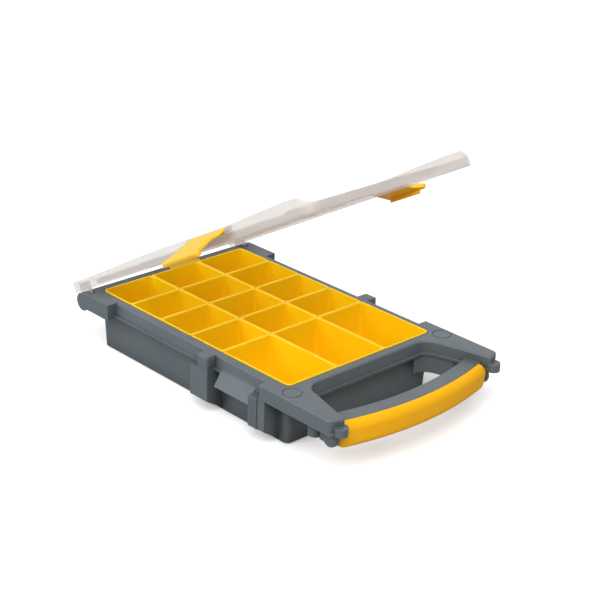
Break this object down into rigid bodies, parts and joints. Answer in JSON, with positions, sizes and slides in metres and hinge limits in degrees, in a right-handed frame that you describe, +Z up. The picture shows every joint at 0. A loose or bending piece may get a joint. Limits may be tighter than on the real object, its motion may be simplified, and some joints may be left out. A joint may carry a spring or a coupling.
{
  "type": "compartment storage box",
  "caption": "Flat carry case for small parts with loose bins, hinged clear lid, side latches and a bowed handle.",
  "frame": {"origin": "middle of the underside, on the surface that the case lies on", "axes": "+X from the hinges to the handle, +Y from the near side to the far side, +Z up"},
  "size_m": [0.4018, 0.3036, 0.2469],
  "materials": {
    "grey_plastic": "fine moulded texture",
    "bin_yellow": "smooth",
    "grip_yellow": "soft satin",
    "latch_yellow": "smooth",
    "clear_plastic": "milky",
    "pin_steel": "drawn wire"
  },
  "bodies": {
    "base": {"case": "grey_plastic", "grip_cover": "grip_yellow", "grip_end_cap_near": "grey_plastic", "grip_end_cap_far": "grey_plastic", "hinge_pin_near": "grey_plastic", "hinge_pin_far": "grey_plastic", "small_bin_1_1": "bin_yellow", "small_bin_2_1": "bin_yellow", "small_bin_3_1": "bin_yellow", "small_bin_4_1": "bin_yellow", "small_bin_1_2": "bin_yellow", "small_bin_2_2": "bin_yellow", "small_bin_3_2": "bin_yellow", "small_bin_4_2": "bin_yellow", "small_bin_1_3": "bin_yellow", "small_bin_2_3": "bin_yellow", "small_bin_3_3": "bin_yellow", "small_bin_4_3": "bin_yellow", "large_bin_1": "bin_yellow", "large_bin_2": "bin_yellow", "large_bin_3": "bin_yellow"},
    "lid": {"lid": "clear_plastic", "latch_pin_near": "pin_steel", "latch_pin_far": "pin_steel"},
    "latch_near": {"latch_near": "latch_yellow"},
    "latch_far": {"latch_far": "latch_yellow"}
  },
  "joints": [
    {"name": "lid_hinge", "type": "hinge", "parent": "base", "child": "lid", "pos_m": [-0.148, 0, 0.051], "axis": [0, -1, 0], "range_deg": [-28.94, 106.06]},
    {"name": "latch_near_pivot", "type": "hinge", "parent": "lid", "child": "latch_near", "pos_m": [0.0436, -0.1084, 0.1798], "axis": [-0.8751, 0, -0.4839], "range_deg": [-60, 40]},
    {"name": "latch_far_pivot", "type": "hinge", "parent": "lid", "child": "latch_far", "pos_m": [0.0436, 0.1084, 0.1798], "axis": [0.8751, 0, 0.4839], "range_deg": [-60, 40]}
  ]
}
